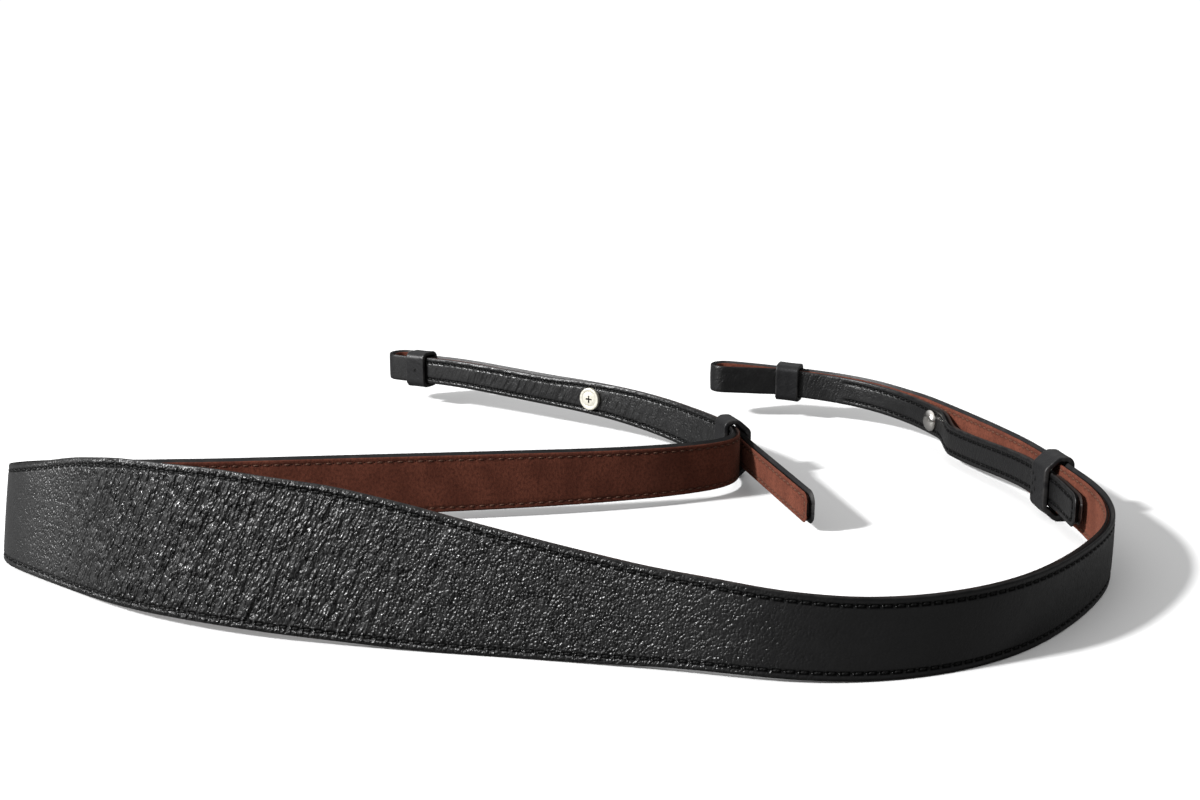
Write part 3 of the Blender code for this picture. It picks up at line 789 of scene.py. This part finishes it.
def pebbled_leather():
    """Black grained leather; its heights are in millimetres."""
    made, tree = new_material("pebbled_black_leather")
    place = strip_place(tree)
    from_edge, coarse, creased, stitched, way = (strip_value(tree, title) for title in STRIP_VALUES)
    stitches = use_group(STITCHES, Way=way, From_Edge=from_edge, Stitched=stitched)
    polish = ranged(coarse, 0.0, 0.9, 0.45, 1.0)
    border = ranged(from_edge, 0.2, 1.0, 0.15, 1.0) * (stitches["Furrow"] * -0.9 + 1.0)
    coarse = coarse * border
    creased = creased * border
    pebbles = use_group(PEBBLES, Place=place, Cell=0.58, Drawn=0.75, Coarse=coarse)
    ridges = use_group(PEBBLES, Place=place, Cell=0.68, Drawn=0.40, Coarse=coarse)
    valley = blended(creased, pebbles["Valley"], ridges["Valley"])
    folds = use_group(CREASES, Place=place)["Height"]
    wear = use_group(WEAR, Place=place, From_Edge=from_edge, Reach=0.7)["Wear"]
    height = blended(creased, pebbles["Height"], ridges["Height"]) * 0.31 + folds * (creased * 0.40)
    height = height + stitches["Hole"] * -0.25 + stitches["Pucker"] * (polish * 0.21 - 0.05)
    height = height + noise(place, 5.0, 3.0, 0.6) * 0.008
    sunk = maths("SUBTRACT", 1.0, folds) * (creased * 0.6)
    shade = maths("MAXIMUM", maths("MAXIMUM", valley, sunk), stitches["Furrow"])
    patches = ranged(noise(place, 0.06, 3.0), 0.3, 0.7)
    tone = mixed(patches, (0.0022, 0.0022, 0.0023), (0.0038, 0.0037, 0.0039))
    tone = mixed(polish, (0.0058, 0.0058, 0.0060), tone)
    # Painted shade: the grain's valleys, the sunken creases and the stitch furrows take a near-black colour
    tone = mixed(shade * 0.9, tone, (0.0006, 0.0006, 0.0007))
    tone = mixed(wear * 0.35, tone, (0.038, 0.036, 0.035))
    sheen = ranged(noise(place, 0.22, 4.0, 0.6), 0.3, 0.7, 0.28, 0.37)
    # The painted shade also lowers the reflection in those places
    shine = (shade * -0.90 + 0.93) * polish * ranged(from_edge, 0.25, 1.0, 0.30, 1.0)
    shine = shine * (stitches["Pucker"] * (polish * 0.9 - 0.9) + 1.0)
    # Painted shade: the stitch holes take a near-black colour
    tone = mixed(stitches["Hole"], tone, (0.001, 0.001, 0.001))
    return dressed(made, Base_Color=tone, Roughness=valley * 0.25 + sheen + wear * 0.10,
                   Specular_IOR_Level=shine, Normal=bumped(height, 0.001))


def suede():
    """Brown suede: a mottled nap that lies in soft patches, with paler fibres standing out of it."""
    made, tree = new_material("brown_suede_nap")
    place = strip_place(tree)
    from_edge = strip_value(tree, "from_edge")
    stitches = use_group(STITCHES, Way=strip_value(tree, "stitch_way"), From_Edge=from_edge,
                         Row=SUEDE_ROW * 1000, Stitched=strip_value(tree, "stitched"))
    wear = use_group(WEAR, Place=place, From_Edge=from_edge, Reach=1.0)["Wear"]
    nap = noise(stretched(place, 1.0, 0.75, 1.0), 1.3, 5.0, 0.68)
    fibre = noise(place, 5.5, 4.0, 0.7)
    brushed = noise(stretched(place, 1.0, 0.5, 1.0), 0.14, 3.0, 0.5)
    tone = mixed(ranged(brushed, 0.35, 0.65), (0.079, 0.0222, 0.0130), (0.113, 0.0338, 0.0200))
    tone = mixed(ranged(nap, 0.40, 0.68, 0.0, 0.70), tone, (0.036, 0.0095, 0.006))
    tone = mixed(ranged(fibre, 0.50, 0.72, 0.0, 0.40), tone, (0.19, 0.072, 0.045))
    tone = mixed(wear * 0.45, tone, (0.035, 0.012, 0.009))
    # Painted shade: the stitch furrows are darkened
    tone = mixed(stitches["Furrow"] * 0.45, tone, (0.020, 0.006, 0.004))
    height = fibre * 0.5 + nap + stitches["Hole"] * -0.8
    # Painted shade: the stitch holes take a near-black brown
    return dressed(made, Base_Color=mixed(stitches["Hole"], tone, (0.008, 0.003, 0.002)),
                   Roughness=ranged(nap, 0.2, 0.8, 0.86, 0.98), Specular_IOR_Level=0.10, Sheen_Weight=0.08,
                   Sheen_Roughness=0.45, Sheen_Tint=(0.75, 0.42, 0.30), Normal=bumped(height, 0.00022))


def painted_edge(name, dark, worn):
    """Cut edge of a layer, sealed with edge paint and rubbed in places."""
    made, tree = new_material(name)
    place = place_in_mm(tree)
    fine = noise(place, 3.0, 4.0, 0.6)
    rubbed = ranged(noise(place, 0.12, 4.0, 0.6), 0.45, 0.75)
    return dressed(made, Base_Color=mixed(rubbed * 0.5, dark, worn), Normal=bumped(fine, 0.00006, 0.8),
                   Roughness=ranged(fine, 0.3, 0.7, 0.36, 0.55), Specular_IOR_Level=0.22)


def smooth_leather():
    """Leather of the keepers: finer grain than the strap, polished by handling, with rubbed edges."""
    made, tree = new_material("smooth_black_leather")
    place = strip_place(tree)
    pebbles = use_group(PEBBLES, Place=place, Cell=0.5, Coarse=KEEPER_COARSE)
    creases = use_group(CREASES, Place=place, Lean=math.radians(-30))["Height"]
    wear = use_group(WEAR, Place=place, From_Edge=strip_value(tree, "from_edge"), Reach=0.8)["Wear"]
    # Painted shade: the grain's valleys are darkened
    tone = mixed(pebbles["Valley"] * 0.6, (0.0085, 0.0085, 0.0090), (0.0035, 0.0035, 0.0035))
    gloss = ranged(noise(place, 0.5, 4.0, 0.6), 0.3, 0.7, 0.32, 0.46)
    return dressed(made, Base_Color=mixed(wear * 0.5, tone, (0.038, 0.036, 0.035)), Roughness=gloss,
                   Specular_IOR_Level=0.20, Normal=bumped(pebbles["Height"] * 0.06 + creases * 0.035, 0.001))


def twisted_thread(name, dark, light, gloss):
    """Waxed thread: plies twisted together, seen as slanting bands along each stitch's own map."""
    made, tree = new_material(name)
    around = node(tree, "SeparateXYZ", Vector=wire(tree, "UVMap", 0, {"uv_map": "UVMap"}))
    turns = Wire(around.outputs[1]) * 4.0 + Wire(around.outputs[0]) * 2.0
    grooves = ranged(maths("PINGPONG", turns, 0.5), 0.0, 0.30)
    fuzz = noise(place_in_mm(tree), 5.0, 3.0, 0.6)
    # Painted shade: the grooves between the plies take the dark colour and their crowns the light one
    tone = mixed(grooves * ranged(fuzz, 0.3, 0.7, 0.5, 1.0), dark, light)
    return dressed(made, Base_Color=tone, Roughness=ranged(fuzz, 0.3, 0.7, gloss, gloss + 0.15),
                   Specular_IOR_Level=0.12, Normal=bumped(grooves, 0.00005))


def worn_nickel(name, colour, low, high, metal):
    """Nickel plating with fine scratches, dulled patches and a darker film where it is touched least."""
    made, tree = new_material(name)
    place = place_in_mm(tree)
    scratches = noise(stretched(place, 0.6, 0.6, 7.0, turn=math.radians(35)), 1.0, 5.0, 0.7)
    film = ranged(noise(place, 0.5, 4.0, 0.6), 0.42, 0.72)
    filmed = [part * share for part, share in zip(colour, (0.72, 0.68, 0.60))]
    return dressed(made, Base_Color=mixed(film * 0.5, colour, filmed), Metallic=metal,
                   Roughness=ranged(scratches, 0.3, 0.7, low, high), Normal=bumped(scratches, 0.00001, 0.5))


LEATHER = pebbled_leather()
SUEDE = suede()
BLACK_EDGE = painted_edge("black_edge_paint", (0.007, 0.007, 0.0075), (0.036, 0.033, 0.031))
BROWN_EDGE = painted_edge("brown_edge_paint", (0.011, 0.007, 0.006), (0.045, 0.022, 0.016))
KEEPER_LEATHER = smooth_leather()
BLACK_THREAD = twisted_thread("black_waxed_thread", (0.0010, 0.0010, 0.0010), (0.0030, 0.0030, 0.0030), 0.52)
BROWN_THREAD = twisted_thread("brown_waxed_thread", (0.030, 0.012, 0.008), (0.120, 0.062, 0.040), 0.48)
HEAD_NICKEL = worn_nickel("satin_nickel", (0.66, 0.64, 0.56), 0.30, 0.42, 0.65)
# Dark nickel of the cross recess: grime, and painted shade in the recess
RECESS_NICKEL = worn_nickel("grimy_nickel", (0.060, 0.056, 0.048), 0.50, 0.62, 0.5)
CAP_NICKEL = worn_nickel("polished_nickel", (0.80, 0.78, 0.75), 0.10, 0.20, 1.0)


def model_stitch(name, finish, length, width):
    """One stitch: a short thread that dives into the leather at both ends."""
    stitch = added(bpy.ops.mesh.primitive_uv_sphere_add, name, segments=8, ring_count=6, radius=0.5,
                   rotation=(0.0, math.pi / 2, 0.0))
    bpy.ops.object.transform_apply()
    stitch.scale = (length, width, THREAD_HEIGHT)
    bpy.ops.object.transform_apply()
    for point in stitch.data.vertices:
        reach = abs(point.co.x) / (length / 2)
        point.co.z -= THREAD_HEIGHT * THREAD_DIVE * reach ** 3
    stitch.data.materials.append(finish)
    bpy.ops.object.shade_smooth()
    return stitch


def copies_joined(name, pattern, matrices):
    """Copies of one modelled piece, each with its own mesh, joined into one piece at the origin."""
    made = []
    for matrix in matrices:
        copy = pattern.copy()
        copy.data = pattern.data.copy()
        copy.data.transform(matrix)
        bpy.context.scene.collection.objects.link(copy)
        made.append(copy)
    select_only(*made)
    bpy.ops.object.join()
    joined = bpy.context.object
    joined.name = name
    joined.data.name = name
    return joined


def face_matrix(station, side, across, up, slant=0.0):
    """Places a pattern on a face of the strap: its X runs along the strap, its Z points out of the face."""
    along = Vector((math.cos(station.heading), math.sin(station.heading), 0.0)) * side
    outward = placed(station, side, 0.0) - placed(station, 0.0, 0.0)
    upward = outward.cross(along)
    turn = Matrix((along, upward, outward)).transposed().to_4x4()
    tilt = Matrix.Rotation(slant, 4, "Z")
    return Matrix.Translation(placed(station, side * across, up)) @ turn @ tilt


def stitch_rows(name, pattern, route, layer):
    """Both stitch rows of one face, where the leather is stitched, and the rows across its tips."""
    matrices = []
    pitch = stitch_pitch(route)
    lifted = layer.face - layer.furrow_depth + THREAD_HEIGHT * THREAD_LIFT
    for index in range(round((route[-1].run - 2 * STITCH_INSET) / pitch)):
        station = station_at(route, STITCH_INSET + (index + 0.5) * pitch)
        if station.stitched < LEAST_STITCHED:
            continue
        for up, slant in ((STITCH_INSET, STITCH_SLANT), (station.width - STITCH_INSET, -STITCH_SLANT)):
            sway = slant * math.sin(index * STITCH_SWAY_STEP)
            matrices.append(face_matrix(station, layer.side, lifted, up, slant + sway))
    for run in (STITCH_INSET, route[-1].run - STITCH_INSET):
        station = station_at(route, run)
        quarter = (END_WIDTH / 2 - STITCH_INSET) / 2
        for up in (station.width / 2 - quarter, station.width / 2 + quarter):
            matrices.append(face_matrix(station, layer.side, lifted, up, math.pi / 2))
    return copies_joined(name, pattern, matrices)


def rounded_outline(corners, radii, steps):
    """Closed outline through corners, each rounded by an arc of its own radius."""
    points = []
    count = len(corners)
    for index in range(count):
        here = Vector(corners[index])
        before = (Vector(corners[index - 1]) - here).normalized()
        after = (Vector(corners[(index + 1) % count]) - here).normalized()
        half = before.angle(after) / 2
        reach = radii[index] / math.tan(half)
        centre = here + (before + after).normalized() * (radii[index] / math.sin(half))
        first = here + before * reach - centre
        sweep = first.angle_signed(here + after * reach - centre)
        points += [centre + Matrix.Rotation(-sweep * step / steps, 2) @ first for step in range(steps + 1)]
    return points


def evenly_cut(points, longest):
    """The same closed outline with its long sides cut into short ones."""
    cut = []
    for first, second in zip(points, points[1:] + points[:1]):
        pieces = max(1, math.ceil((second - first).length / longest))
        cut += [first.lerp(second, k / pieces) for k in range(pieces)]
    return cut


def keeper_outline(width):
    """Closed inner outline of a keeper, as (across, up): snug round the strap and its narrower tail."""
    margin = KEEPER_CLEARANCE * KEEPER_SNUG
    strap_side = OUTER_FACE + margin
    knee = -LINING_FACE - margin * KNEE_SHARE
    tail_side = -LAYER_SPACING - OUTER_FACE - margin
    strap_half = width / 2 + margin
    tail_half = END_WIDTH / 2 + margin
    corners = [
        (strap_side, -strap_half), (strap_side, strap_half), (knee, strap_half),
        (tail_side, tail_half), (tail_side, -tail_half), (knee, -strap_half),
    ]
    outline = evenly_cut(rounded_outline(corners, KEEPER_RADII, 6), KEEPER_CUT)
    return outline + outline[:1]


def leather_keeper(end, keeper, middle, stations):
    """Leather loop round the strap and its tail, with soft corners, rounded rims and hollow sides."""
    rows = []
    for index in range(KEEPER_SLICES + 1):
        part = index / KEEPER_SLICES
        station = station_at(stations, from_fold(end, middle + keeper.length * (part - 0.5)))
        outline = keeper_outline(station.width)
        flare = KEEPER_FLARE * (2 * part - 1) ** 2
        along = keeper.length * part * 1000
        from_edge = min(along, keeper.length * 1000 - along)
        row = []
        way = 0.0
        for spot, before in zip(outline, outline[:1] + outline):
            way += (spot - before).length
            out = spot + spot.normalized() * flare
            place = placed(station, out.x, station.width / 2 + out.y)
            row.append((place, (way * 1000, along), (from_edge,)))
        rows.append(row)
    band = laid_sheet(f"{end.name}_{keeper.name}_band", rows[::-end.side], STRIP_VALUES[:1])
    edit_all(band)
    bpy.ops.mesh.remove_doubles(threshold=0.00001)
    bpy.ops.mesh.normals_make_consistent(inside=False)
    edit_done()
    band.data.materials.append(KEEPER_LEATHER)
    modified(band, "SOLIDIFY", thickness=keeper.wall + KEEPER_CLEARANCE * (1 - KEEPER_SNUG), offset=1.0,
             use_even_offset=True)
    rounded_edges(band, KEEPER_RIM, segments=3, sharper_than=50)
    smooth_up_to(50)
    return band


def stud_matrix(end, stations):
    """Places a stud: its Z points out of the strap's black face, from the middle of that face."""
    station = station_at(stations, from_fold(end, STUD_FROM_FOLD))
    outward = Vector((math.sin(station.heading), -math.cos(station.heading), 0.0))
    turn = outward.to_track_quat("Z", "Y").to_matrix().to_4x4()
    return Matrix.Translation(placed(station, OUTER_FACE, station.width / 2)) @ turn


def cross_cutter(reach, half_arm, height, depth):
    """Solid cross whose arms taper downwards, for the screwdriver recess."""
    quarter = [(reach, half_arm), (half_arm, half_arm), (half_arm, reach)]
    corners = quarter + [(-x, y) for x, y in reversed(quarter)]
    corners += [(-x, -y) for x, y in quarter] + [(x, -y) for x, y in reversed(quarter)]
    cutter = added(bpy.ops.mesh.primitive_circle_add, "cross_cutter", vertices=len(corners), fill_type="NGON")
    around = sorted(cutter.data.vertices, key=lambda point: math.atan2(point.co.y, point.co.x) % math.tau)
    for point, (x, y) in zip(around, corners):
        point.co = (x, y, height + depth)
    edit_all(cutter)
    extrude_up(-2 * depth)
    bpy.ops.transform.resize(value=(RECESS_TAPER, RECESS_TAPER, 1.0))
    bpy.ops.mesh.select_all(action="SELECT")
    bpy.ops.mesh.normals_make_consistent(inside=False)
    edit_done()
    return cutter


def stud_head(end, stations):
    """Screw head with an eased rim, a faint ring turned in its face and a cross recess."""
    height = STUD_HEAD_HEIGHT + FIT_CLEARANCE
    head = added(bpy.ops.mesh.primitive_cylinder_add, f"{end.name}_stud_head", vertices=HEAD_SIDES,
                 radius=STUD_HEAD_RADIUS, depth=height, location=(0, 0, HEAD_SEAT + height / 2))
    bpy.ops.object.transform_apply()
    edit_top_faces(head)
    for width, rise in HEAD_RING:
        bpy.ops.mesh.inset(thickness=width, depth=rise)
    edit_done()
    rounded_edges(head, HEAD_RIM, segments=4, sharper_than=40)
    cutter = cross_cutter(RECESS_REACH, RECESS_HALF_ARM, HEAD_SEAT + height, RECESS_DEPTH)
    head.data.materials.append(HEAD_NICKEL)
    cutter.data.materials.append(RECESS_NICKEL)
    modified(head, "BOOLEAN", operation="DIFFERENCE", solver="EXACT", material_mode="TRANSFER", object=cutter)
    bpy.data.objects.remove(cutter, do_unlink=True)
    smooth_up_to(30)
    head.data.transform(stud_matrix(end, stations))
    return head


def stud_cap(end, stations):
    """Domed cap on a thin flange, with the barrel that goes through the layers."""
    cap = added(bpy.ops.mesh.primitive_uv_sphere_add, f"{end.name}_stud_cap", segments=CAP_SIDES,
                ring_count=CAP_SIDES // 2, radius=1.0)
    edit_all(cap)
    bpy.ops.mesh.bisect(plane_co=(0, 0, 0), plane_no=(0, 0, 1), use_fill=True, clear_outer=True)
    edit_done()
    edit_top_faces(cap)
    extrude_up(CAP_FLANGE)
    bpy.ops.mesh.inset(thickness=1 - BARREL_RADIUS / CAP_RADIUS, depth=0.0)
    extrude_up(BARREL_REACH)
    edit_done()
    dome = CAP_HEIGHT / (1 + CAP_FLANGE)
    cap.data.transform(Matrix.Diagonal((CAP_RADIUS, CAP_RADIUS, dome, 1.0)))
    cap.data.transform(Matrix.Translation((0, 0, -STACK_THICKNESS - CAP_SEAT - dome * CAP_FLANGE)))
    rounded_edges(cap, CAP_RIM, segments=3, sharper_than=60)
    cap.data.materials.append(CAP_NICKEL)
    smooth_up_to(40)
    cap.data.transform(stud_matrix(end, stations))
    return cap


def keeper_stitching(end, keeper, middle, stations, pattern):
    """Stitches that stand in a keeper's face."""
    matrices = []
    face = keeper.leather + KEEPER_CLEARANCE + keeper.wall
    for offset, above, slant in keeper.stitches:
        station = station_at(stations, from_fold(end, middle + offset))
        up = station.width / 2 + above
        matrices.append(face_matrix(station, keeper.side, face, up, math.radians(slant)))
    return copies_joined(f"{end.name}_{keeper.name}_{keeper.sewing}", pattern, matrices)


def show(piece, slot_name, *nodes):
    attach(piece, "root")
    if nodes:
        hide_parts(*nodes)


def build_strap():
    stations = main_stations()
    route, *folds = whole_route(stations)
    stations, route = laid_on_frame(stations, route)
    leather = strip_of_strap("outer_leather_strip", route, folds, BLACK_LAYER, (LEATHER, BLACK_EDGE))
    show(leather, "black_leather", "outer_leather")
    suede_strip = strip_of_strap("suede_strip", route, folds, SUEDE_LAYER, (SUEDE, BROWN_EDGE))
    show(suede_strip, "brown_suede", "lining")
    black_stitch = model_stitch("black_stitch", BLACK_THREAD, STITCH_LENGTH, THREAD_WIDTH)
    brown_stitch = model_stitch("brown_stitch", BROWN_THREAD, SUEDE_STITCH_LENGTH, SUEDE_THREAD_WIDTH)
    show(stitch_rows("black_stitching", black_stitch, route, BLACK_LAYER), "black_leather")
    show(stitch_rows("suede_stitching", brown_stitch, route, SUEDE_LAYER), "brown_suede")
    for end in ENDS:
        middles = [keeper_middle(end), eye_run(end) + NARROW_KEEPER_LENGTH / 2]
        for keeper, middle in zip(KEEPERS, middles):
            show(leather_keeper(end, keeper, middle, stations), "black_leather", f"{end.name}_{keeper.name}")
        for keeper, middle in zip(KEEPERS, middles):
            show(keeper_stitching(end, keeper, middle, stations, black_stitch), "black_leather")
        show(stud_head(end, stations), "nickel", f"{end.name}_stud_screw")
        show(stud_cap(end, stations), "nickel", f"{end.name}_stud_post")
    for pattern in (black_stitch, brown_stitch):
        bpy.data.objects.remove(pattern, do_unlink=True)
    return stations


def is_camera_ray(tree):
    return wire(tree, "LightPath", "Is Camera Ray")


def pale_floor():
    """White table that throws only a little light back on the strap."""
    made, tree = new_material("pale_table")
    place = wire(tree, "TexCoord", "Object")
    tone = mixed(noise(place, 6.0, 3.0), (0.655, 0.655, 0.655), (0.675, 0.675, 0.675))
    tone = mixed(is_camera_ray(tree), (0.10, 0.10, 0.10), tone)
    floor = added(bpy.ops.mesh.primitive_plane_add, "table", size=40, location=(0, 0, -0.00005))
    floor.data.materials.append(dressed(made, Base_Color=tone, Roughness=0.7))


def add_light(name, kind, place, target, **settings):
    """Light of a kind at a place, shining at a target."""
    lamp = bpy.data.lights.new(name, kind)
    for key, value in settings.items():
        setattr(lamp, key, value)
    made = bpy.data.objects.new(name, lamp)
    made.location = place
    made.rotation_euler = (Vector(place) - Vector(target)).to_track_quat("Z", "Y").to_euler()
    bpy.context.scene.collection.objects.link(made)


def studio_light():
    """A soft key from the left, a softbox, and a pale surround that is brighter overhead."""
    turn, height = math.radians(21), math.radians(31)
    towards_key = (-math.cos(turn), -math.sin(turn), math.tan(height))
    add_light("key", "SUN", towards_key, (0, 0, 0), energy=6.5, angle=math.radians(5))
    add_light("left_softbox", "AREA", (-0.75, -0.22, 0.35), (-0.08, -0.05, 0.02), shape="RECTANGLE",
              size=0.5, size_y=0.4, energy=4.0)
    surround = bpy.data.worlds.new("pale_surround")
    bpy.context.scene.world = surround
    surround.use_nodes = True
    tree = surround.node_tree
    incoming = wire(tree, "NewGeometry", "Incoming")
    downwards = wire(tree, "SeparateXYZ", 2, Vector=incoming)
    lit = ranged(downwards, 0.0, -1.0, 0.12, 1.05)
    feed_named(tree.nodes["Background"], {"Color": (1.0, 1.0, 1.0),
                                          "Strength": blended(is_camera_ray(tree), lit, 1.05)})
    bpy.context.scene.view_settings.view_transform = "Standard"
    bpy.context.scene.view_settings.look = "None"


def photo_camera(stations):
    lens = bpy.data.cameras.new("camera")
    lens.sensor_width = 36.0
    lens.lens = CAMERA_LENS
    made = bpy.data.objects.new("camera", lens)
    made.location = Vector((stations[0].x, stations[0].y, 0.0)) + CAMERA_FROM_LEFT_FOLD
    made.rotation_euler = (CAMERA_PITCH, 0.0, 0.0)
    bpy.context.scene.collection.objects.link(made)
    bpy.context.scene.camera = made


strap_stations = build_strap()
pale_floor()
studio_light()
photo_camera(strap_stations)
